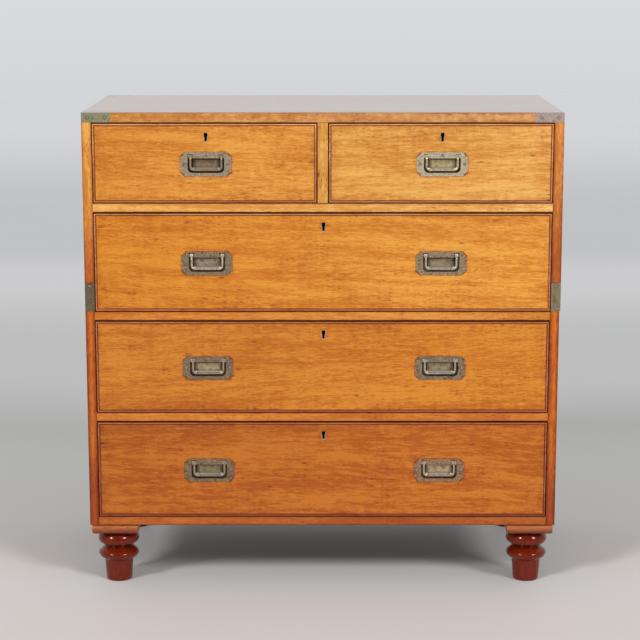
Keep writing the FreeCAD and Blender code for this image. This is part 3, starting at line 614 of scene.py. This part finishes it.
# The blocks are painted darker below and lighter above, as shade and light on their rounded edge.
blocks = [Vector(corner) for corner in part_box("foot_blocks")]
blocks[0].z, blocks[1].z = [blocks[0].z + height * MM for height in BLOCK_FADE]
dress("foot_blocks", wood("foot_blocks", BLOCK_SHADE_AND_LIGHT, X, next(seeds), blocks, Z, edge=0.0,
                          gloss=0.22, coat=0.3))
soften("foot_blocks", BLOCK_EASE)
# The foot's neck gets painted shade under its bun.
FOOT_WOOD = wood("foot_wood", FOOT_COLOUR, Z, next(seeds), band=FOOT_NECK_SHADE, gloss=0.16,
                 coat=0.45, specular=0.1, coat_roughness=0.03)

SCREW_BRASS = brass("screw_brass", srgb(186, 172, 144), 11)
BOLT_BRASS = brass("bolt_brass", srgb(205, 188, 156), 9, 0.3)
for drawer in DRAWERS:
    dress(drawer + "_bolt", BOLT_BRASS)
    lock = drawer + "_lock"
    dress(lock, brass(lock, srgb(226, 212, 186), 9, 0.3, hole=liner_place(lock)))


# ------------------------------------------------------------------ straps
TOP_SCREW_INSETS = (12.0, 45.0)        # millimetres from the end of a strap
BASE_SCREW_INSET, BASE_SCREW_LEVELS = 9.5, (20.0, 50.0)    # and from its side and foot


def strap_screws(name):
    """Screws of a pair of straps: distance from the middle of the chest, and height."""
    low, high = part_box(name)
    half = (high.x - low.x) / 2
    if name == "top_corner_straps":
        return [(half - inset * MM, (low.z + high.z) / 2) for inset in TOP_SCREW_INSETS]
    return [(half - BASE_SCREW_INSET * MM, low.z + level * MM) for level in BASE_SCREW_LEVELS]


for name, (colours, ring_dark) in STRAP_LOOKS.items():
    low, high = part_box(name)
    middle = (low.x + high.x) / 2
    dress(name, brass(name, colours, 7, 0.35, 0.4, 0.45, ends=STRAPS_MIDDLE,
                      rings=[(middle, x, z) for x, z in strap_screws(name)],
                      ring_dark=ring_dark, top=high.z))
    soften(name, STRAP_EASE)


# ------------------------------------------------------------------ mesh helpers
def add_piece(name, mesh, material, body, replaces=()):
    """A piece of the chest that rides on a CAD body."""
    piece = bpy.data.objects.new(name, mesh)
    bpy.context.scene.collection.objects.link(piece)
    mesh.materials.append(material)
    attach(piece, body)
    if replaces:
        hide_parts(*replaces)
    return piece


def mesh_of(name, verts, faces, smooth=False):
    mesh = bpy.data.meshes.new(name)
    mesh.from_pydata([tuple(v) for v in verts], [], faces)
    made = bmesh.new()
    made.from_mesh(mesh)
    bmesh.ops.recalc_face_normals(made, faces=made.faces)
    made.to_mesh(mesh)
    made.free()
    for polygon in mesh.polygons:
        polygon.use_smooth = smooth
    return mesh


def arc(x, z, radius, start, end, steps):
    """Points along an arc about a centre, with both ends; angles in degrees."""
    angles = [radians(start + (end - start) * i / steps) for i in range(steps + 1)]
    return [(x + radius * cos(a), z + radius * sin(a)) for a in angles]


def loft(name, rings, smooth=False):
    """A skin between closed rings of points that have equal counts, with both ends shut."""
    count = len(rings[0])
    verts = [point for ring in rings for point in ring]
    faces = []
    for r in range(len(rings) - 1):
        for i in range(count):
            j = (i + 1) % count
            faces.append((r * count + i, r * count + j, (r + 1) * count + j,
                          (r + 1) * count + i))
    faces.append(tuple(range(count))[::-1])
    faces.append(tuple(range((len(rings) - 1) * count, len(rings) * count)))
    return mesh_of(name, verts, faces, smooth)


def prism(name, outline, y0, y1):
    """An outline of (x, z) points, from y0 to y1."""
    return loft(name, [[(x, y, z) for x, z in outline] for y in (y0, y1)])


def block(name, low, high):
    outline = [(low[X], low[Z]), (high[X], low[Z]), (high[X], high[Z]), (low[X], high[Z])]
    return prism(name, outline, low[Y], high[Y])


def turned(name, outline, segments, smooth=True):
    """A round form about the Z axis, from an outline of (radius, z) points."""
    turns = [2 * pi * i / segments for i in range(segments)]
    return loft(name, [[(r * cos(a), r * sin(a), z) for a in turns] for r, z in outline],
                smooth=smooth)


def joined(name, meshes):
    """Several meshes as one, each with its own place kept."""
    made = bmesh.new()
    for mesh in meshes:
        made.from_mesh(mesh)
    result = bpy.data.meshes.new(name)
    made.to_mesh(result)
    made.free()
    return result


def moved(mesh, offset, turn=None):
    copy = mesh.copy()
    if turn:
        copy.transform(turn)
    copy.transform(Matrix.Translation(offset))
    return copy


def carved(name, solid, steps):
    """A solid after a list of (operation, tool mesh) steps."""
    work = bpy.data.objects.new(name, solid)
    bpy.context.scene.collection.objects.link(work)
    tools = []
    for operation, tool_mesh in steps:
        tool = bpy.data.objects.new("tool", tool_mesh)
        bpy.context.scene.collection.objects.link(tool)
        tools.append(tool)
        change = work.modifiers.new("change", "BOOLEAN")
        change.operation = operation
        change.solver = "EXACT"
        change.object = tool
    bpy.context.view_layer.update()
    depsgraph = bpy.context.evaluated_depsgraph_get()
    result = bpy.data.meshes.new_from_object(work.evaluated_get(depsgraph))
    result.name = name
    for made in [work] + tools:
        bpy.data.objects.remove(made)
    return result


def curve_through(points, steps):
    """A smooth line through points (Catmull-Rom), with its ends kept."""
    line = []
    padded = [points[0]] + list(points) + [points[-1]]
    for a, b, c, d in zip(padded, padded[1:], padded[2:], padded[3:]):
        for i in range(steps):
            t = i / steps
            line.append(tuple(0.5 * (2 * q + (r - p) * t + (2 * p - 5 * q + 4 * r - s) * t * t
                                     + (3 * q - p - 3 * r + s) * t ** 3)
                              for p, q, r, s in zip(a, b, c, d)))
    return line + [tuple(points[-1])]


# ------------------------------------------------------------------ feet
FOOT_INSET = 48.0                      # millimetres from a block's outer faces to the axis
FOOT_SEGMENTS, FOOT_STEPS = 72, 4      # round a foot, and between two points of a curve
# A foot's outline, from the floor up, as (radius, height) in millimetres.
PEG = ((0.0, 0.1), (22.8, 0.1), (24.6, 0.6), (25.7, 2.2), (26.1, 6.0), (27.6, 27.0), (28.7, 42.6))
RING = ((28.8, 43.8), (32.0, 45.6), (37.2, 49.6), (39.8, 54.2), (40.2, 57.8), (38.4, 61.6),
        (32.6, 66.6), (26.6, 71.6))
BUN = (RING[-1], (27.6, 73.2), (32.6, 75.6), (38.0, 79.6), (40.6, 84.0), (40.9, 88.4),
       (39.6, 93.6), (36.4, 99.0), (32.4, 103.2), (29.6, 106.0))
SPIGOT = ((13.0, 106.0), (13.0, 121.0))


def build_feet():
    """Lathe-turned feet: tapered peg, ring with a sloping top, bun, and a spigot that
    goes up into the block."""
    low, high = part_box("foot_blocks")
    inset = FOOT_INSET * MM
    ring, bun = curve_through(RING, FOOT_STEPS), curve_through(BUN, FOOT_STEPS)
    line = [*PEG, *ring, *bun[1:], *SPIGOT]
    outline = [(r * MM, z * MM) for r, z in line]
    for x, side in ((low.x + inset, "left"), (high.x - inset, "right")):
        for y, end in ((low.y + inset, "front"), (high.y - inset, "back")):
            name = f"turned_foot_{side}_{end}"
            foot = moved(turned(name, outline, FOOT_SEGMENTS), (x, y, 0))
            add_piece(name, foot, FOOT_WOOD, "lower_section", ["turned_feet"])


# ------------------------------------------------------------------ handles and screws
# Millimetres from the middle of a plate, and depths from its face.
PIVOT_UP, PIVOT_DEEP = 15.2, 3.0       # as in the CAD
ARM_HALF, BAIL_DROP, BAIL_BEND, ROD_R = 30.0, 26.5, 7.0, 2.2
SMALL_BOSS, BOSS = (3.5, 4.9), (4.5, 5.2)        # radius, and half width of its pocket
BOSS_GAP = 0.5                         # round a boss in its pocket
FLUSH, PROUD = -2.7, -3.6              # where a boss is filed flat, from its axis
BALL = ((0.01, -4.7), (2.6, -4.2), (4.3, -2.3), (4.7, 0.0), (4.3, 2.3), (2.6, 4.2),
        (0.01, 4.7))                   # outline of a round boss: (radius, place along)
PIN = ((1.3, 4.5), (1.3, 8.2))
RECESS_HALF, RECESS_LOW, RECESS_HIGH, RECESS_ROUND = 35.5, -16.8, 11.5, 9.0
CHANNEL_DEEP = 5.6
DISH_HALF, DISH_LOW, DISH_ROUND = 28.0, -13.5, 4.0
DISH_WALL = ((-0.5, -0.2), (4.8, 0.0), (8.0, 0.5), (10.2, 1.5), (11.5, 3.0),
             (12.0, 5.0))              # how far it leans in at each depth
PAN_HALF, PAN_TOP, PAN_DEEP = 41.0, 21.0, 13.2   # the back of the casting, in the drawer front
SCREWS = ((0.0, 17.2), (-43.3, 0.6), (43.3, 0.6))
SCREW_R, SCREW_SINK, SCREW_GAP = 3.0, 0.2, 0.25
SCREW_SEGMENTS, BOSS_SEGMENTS, ROD_SEGMENTS = 24, 28, 16
SLOT_HALF, SLOT_DEEP, SLOT_TURN = 0.42, 0.55, 37       # its turn is in degrees
STRAP_SCREW_PROUD, FIRST_TURN, NEXT_TURN = 0.05, 50, 67
PLATE_EASE = 0.45


def plate_outline():
    """A plate with a scooped corner, copied to all four."""
    w, h, near, far = PLATE_HALF_W, PLATE_HALF_H, 1.3, 9.0
    scoop = [(7.2, 3.7), (5.8, 5.8), (3.7, 7.2)]
    corner = [(far, 0), (far, near)] + scoop + [(near, far), (0, far)]
    outline = [(w - a, h - b) for a, b in corner[::-1]]
    outline += [(a - w, h - b) for a, b in corner]
    outline += [(a - w, b - h) for a, b in corner[::-1]]
    return outline + [(w - a, b - h) for a, b in corner]


def rounded(half, low, high, radius, steps=6):
    """An oblong with round corners, as (x, z) points."""
    points = []
    for x, z, start in ((half - radius, low + radius, -90), (half - radius, high - radius, 0),
                        (radius - half, high - radius, 90), (radius - half, low + radius, 180)):
        points += arc(x, z, radius, start, start + 90, steps)
    return points


def recess_outline():
    half, low, r = RECESS_HALF, RECESS_LOW, RECESS_ROUND
    corners = arc(r - half, low + r, r, 180, 270, 8) + arc(half - r, low + r, r, 270, 360, 8)
    return [(-half, RECESS_HIGH)] + corners + [(half, RECESS_HIGH)]


def dish():
    """The bowl for the fingers, with walls that curve in to its floor."""
    rings = []
    for depth, lean in DISH_WALL:
        outline = rounded(DISH_HALF - lean, DISH_LOW + lean, RECESS_HIGH - 0.4 * lean, DISH_ROUND)
        rings.append([(x, depth, z) for x, z in outline])
    return loft("dish", rings)


def scaled(mesh):
    """A mesh that was drawn in millimetres, in metres."""
    mesh.transform(Matrix.Scale(MM, 4))
    return mesh


def screw():
    """A countersunk head with a slot, its face towards -Y, about the origin."""
    face = [(0.01, 0.0), (SCREW_R - 0.3, 0.0), (SCREW_R, 0.25), (SCREW_R - 0.9, 1.6), (0.01, 1.6)]
    head = turned("screw", face, SCREW_SEGMENTS, False)
    head.transform(Matrix.Rotation(-pi / 2, 4, "X"))
    slot = block("slot", (-SCREW_R, -0.5, -SLOT_HALF), (SCREW_R, SLOT_DEEP, SLOT_HALF))
    return carved("screw", head, [("DIFFERENCE", slot)])


def handle_casting(boss_r, pocket_half):
    """A plate with its recess, dish, boss pockets and sunk screw holes."""
    plate = prism("plate", plate_outline(), 0.0, PLATE_T)
    pan = block("pan", (-PAN_HALF, PLATE_T - 0.5, RECESS_LOW - 1.2), (PAN_HALF, PAN_DEEP, PAN_TOP))
    recess = prism("recess", recess_outline(), -1.0, CHANNEL_DEEP)
    steps = [("UNION", pan), ("DIFFERENCE", recess), ("DIFFERENCE", dish())]
    reach = boss_r + BOSS_GAP
    for x in (-ARM_HALF, ARM_HALF):
        pocket = block("pocket", (x - pocket_half, -1.0, PIVOT_UP - reach),
                       (x + pocket_half, PIVOT_DEEP + reach, PIVOT_UP + reach))
        steps.append(("DIFFERENCE", pocket))
    for x, z in SCREWS:
        radius = SCREW_R + SCREW_GAP
        hole = turned("hole", [(radius, -1.0), (radius, 1.0)], SCREW_SEGMENTS)
        hole.transform(Matrix.Rotation(-pi / 2, 4, "X"))
        hole.transform(Matrix.Translation((x, 0, z)))
        steps.append(("DIFFERENCE", hole))
    return scaled(carved("casting", plate, steps))


def bail_mesh(boss_r, filed=None):
    """A round bar bent to a U, with a boss and a pin at the top of each arm. A boss is
    a ball, or a cylinder that is filed flat at this depth from its axis."""
    a, d, r = ARM_HALF, BAIL_DROP, BAIL_BEND
    line = [(-a, 0.0)] + [(-a, -d * t) for t in (0.3, 0.6)]
    line += arc(r - a, r - d, r, 180, 270, 8) + arc(a - r, r - d, r, 270, 360, 8)
    line += [(a, -d * t) for t in (0.6, 0.3)] + [(a, 0.0)]
    turns = [2 * pi * k / ROD_SEGMENTS for k in range(ROD_SEGMENTS)]
    rings = []
    for i, (x, z) in enumerate(line):
        before, after = line[max(i - 1, 0)], line[min(i + 1, len(line) - 1)]
        way = Vector((after[0] - before[0], 0, after[1] - before[1])).normalized()
        across = Vector((-way.z, 0, way.x))
        rings.append([Vector((x, 0, z)) + across * (ROD_R * cos(t)) + Vector((0, ROD_R * sin(t), 0))
                      for t in turns])
    pieces = [loft("bar", rings, smooth=True)]
    if filed is None:
        boss = curve_through(BALL, 3)
    else:
        boss = [(0.01, -4.7), (boss_r - 0.7, -4.7), (boss_r - 0.15, -4.4), (boss_r, -3.6),
                (boss_r, 3.6), (boss_r - 0.15, 4.4), (boss_r - 0.7, 4.7), (0.01, 4.7)]
    for side in (-1, 1):
        turn = Matrix.Rotation(side * pi / 2, 4, "Y")
        knob = moved(turned("boss", boss, BOSS_SEGMENTS), (side * a, 0, 0), turn)
        if filed is not None:
            for vert in knob.vertices:
                vert.co.y = max(vert.co.y, filed)
        pieces.append(knob)
        pieces.append(moved(turned("pin", PIN, ROD_SEGMENTS), (side * a, 0, 0), turn))
    return scaled(joined("bail", pieces))


def build_handle(drawer, suffix, x, z, casting, screw_head, seed):
    """A plate, its screws and its bail, with the middle of the plate at (x, z)."""
    short = drawer in SHORT_DRAWERS
    centre = Vector((x, FRONT, z))
    plate_colour, dish_colour, bail_colour = HANDLE_LOOKS[drawer + suffix]
    name = f"{drawer}_plate{suffix}"
    # black: how dark the dirt and painted shade in the recess are
    looks = brass(name, plate_colour, seed, 0.4, dish=dish_colour, middle=(x, z),
                  black=0.97 if short else 0.7)
    plate = add_piece(name, moved(casting, centre), looks, drawer,
                      [drawer + "_plates"])
    for polygon in plate.data.polygons:
        polygon.use_smooth = True
    ease(plate, PLATE_EASE * MM, 40)
    heads = [moved(screw_head, centre + Vector((screw_x, SCREW_SINK, screw_z)) * MM,
                   Matrix.Rotation(radians(SLOT_TURN * count), 4, "Y"))
             for count, (screw_x, screw_z) in enumerate(SCREWS, 1)]
    add_piece(f"{drawer}_plate_screws{suffix}", joined("screws", heads), SCREW_BRASS, drawer)

    node = f"{drawer}_bail{suffix}"
    filed = FLUSH if short else None if drawer == "second_drawer" else PROUD
    swing = bail_mesh((SMALL_BOSS if short else BOSS)[0], filed)
    pivot = centre + Vector((0, PIVOT_DEEP, PIVOT_UP)) * MM
    add_piece(node + "_swing", moved(swing, pivot),
              brass(node, bail_colour, seed + 10, 0.2, 0.28), node, [node])


def build_handles():
    screw_head = scaled(screw())
    castings = {True: handle_casting(*SMALL_BOSS), False: handle_casting(*BOSS)}
    seed = 20
    for drawer in DRAWERS:
        casting = castings[drawer in SHORT_DRAWERS]
        for suffix, (x, z) in handle_places(drawer).items():
            seed += 1
            build_handle(drawer, suffix, x, z, casting, screw_head, seed)


def build_strap_screws():
    """Screws in the front legs of the straps, filed off almost level with the brass."""
    head = scaled(screw())
    heads = []
    for x, z in [place for name in STRAP_LOOKS for place in strap_screws(name)]:
        for side in (-1, 1):
            turn = Matrix.Rotation(radians(FIRST_TURN + NEXT_TURN * len(heads)), 4, "Y")
            place = Vector((side * x, FRONT - STRAP_SCREW_PROUD * MM, z))
            heads.append(moved(head, place, turn))
    add_piece("strap_screws", joined("strap_screws", heads), SCREW_BRASS, "upper_section")


build_feet()
build_handles()
build_strap_screws()


# ------------------------------------------------------------------ stage
FLOOR_SIDE, FLOOR_NEAR, FLOOR_FAR = 14.0, -9.0, 14.0
FLOOR_COLOUR = srgb(220, 218, 216)     # in front of the chest
FLOOR_PAINTED_LIGHT = (                        # and further back: from, to, and the colour then, as painted light and shade on the floor
    (-0.24, 0.12, srgb(212, 213, 210)),
    (0.6, 1.5, srgb(196, 197, 196)),
    (2.2, 3.4, srgb(213, 212, 214)),
    (3.6, 4.4, srgb(200, 201, 203)),
    (5.4, 10.0, srgb(222, 223, 226)),
)
WORLD_LIGHT = 0.46
ROOM_COLOUR = srgb(212, 214, 217)
SENSOR, LENS, SHIFT = 36.0, 109.0, -0.00865
CAMERA_PLACE, CAMERA_DOWN = (0.0053, -3.9716, 1.2445), 0.1858      # radians below level


def build_stage():
    """A pale floor, painted lighter and darker with distance back as light and shade."""
    mesh = bpy.data.meshes.new("floor")
    x, y0, y1 = FLOOR_SIDE, FLOOR_NEAR, FLOOR_FAR
    mesh.from_pydata([(-x, y0, 0), (x, y0, 0), (x, y1, 0), (-x, y1, 0)], [], [(0, 1, 2, 3)])
    floor = bpy.data.objects.new("floor", mesh)
    bpy.context.scene.collection.objects.link(floor)
    t = Tree("floor")
    place = t.place()
    back = t.axes(place)[Y]
    patches = t.noise(t.stretched(place, (1.2, 1.2, 1.2)), 3.0)
    base = FLOOR_COLOUR
    # painted light and shade, stepped by distance back
    for start, end, colour in FLOOR_PAINTED_LIGHT:
        base = t.mix(t.rise(back, start, end), base, colour)
    base = multiplied(t, t.rise(patches, 0.35, 0.65, 0.0, 0.05), base, (0.8, 0.8, 0.8))
    mesh.materials.append(t.finish(Base_Color=base, Roughness=0.7))


def build_world():
    """Studio light all round: what gloss reflects is pale behind and above the chest and
    dim in front of it, and the background is pale."""
    world = bpy.data.worlds.new("studio")
    bpy.context.scene.world = world
    world.use_nodes = True
    tree = world.node_tree
    add = tree.nodes.new
    light = tree.nodes["Background"]
    light.inputs["Color"].default_value = (1.0, 1.0, 1.0, 1.0)
    light.inputs["Strength"].default_value = WORLD_LIGHT
    towards = add("ShaderNodeSeparateXYZ")
    tree.links.new(add("ShaderNodeTexCoord").outputs["Generated"], towards.inputs[0])
    pale = []
    for axis, ramp in (("Z", (-0.08, -0.02, 0.97, 1.06)), ("Y", (-0.7, 0.5, 0.28, 1.05))):
        level = add("ShaderNodeMapRange")
        for index, value in enumerate(ramp, 1):
            level.inputs[index].default_value = value
        tree.links.new(towards.outputs[axis], level.inputs[0])
        pale.append(add("ShaderNodeBackground"))
        pale[-1].inputs["Color"].default_value = (*ROOM_COLOUR, 1.0)
        tree.links.new(level.outputs[0], pale[-1].inputs["Strength"])
    seen, room = pale
    path = add("ShaderNodeLightPath")
    shown, mirrored = add("ShaderNodeMixShader"), add("ShaderNodeMixShader")
    for made, share, low, high in ((mirrored, "Is Glossy Ray", light, room),
                                   (shown, "Is Camera Ray", mirrored, seen)):
        tree.links.new(path.outputs[share], made.inputs[0])
        tree.links.new(low.outputs[0], made.inputs[1])
        tree.links.new(high.outputs[0], made.inputs[2])
    tree.links.new(shown.outputs[0], tree.nodes["World Output"].inputs["Surface"])


def add_sun(name, azimuth, elevation, strength, spread):
    """A soft lamp, far off. Azimuth 0 is in front of the chest, positive to its right."""
    data = bpy.data.lights.new(name, "SUN")
    data.energy = strength
    data.angle = radians(spread)
    lamp = bpy.data.objects.new(name, data)
    a, e = radians(azimuth), radians(elevation)
    towards = Vector((sin(a) * cos(e), -cos(a) * cos(e), sin(e)))
    lamp.rotation_euler = towards.to_track_quat("Z", "Y").to_euler()
    bpy.context.scene.collection.objects.link(lamp)


def add_camera():
    data = bpy.data.cameras.new("camera")
    data.sensor_width = SENSOR
    data.lens = LENS
    data.shift_x = SHIFT
    camera = bpy.data.objects.new("camera", data)
    camera.location = CAMERA_PLACE
    camera.rotation_euler = (pi / 2 - CAMERA_DOWN, 0.0, 0.0)
    bpy.context.scene.collection.objects.link(camera)
    bpy.context.scene.camera = camera


build_stage()
build_world()
add_sun("key", azimuth=-42, elevation=32, strength=1.33, spread=12)
add_sun("fill", azimuth=43, elevation=32, strength=1.28, spread=15)
add_camera()
bpy.context.scene.view_settings.view_transform = "Standard"
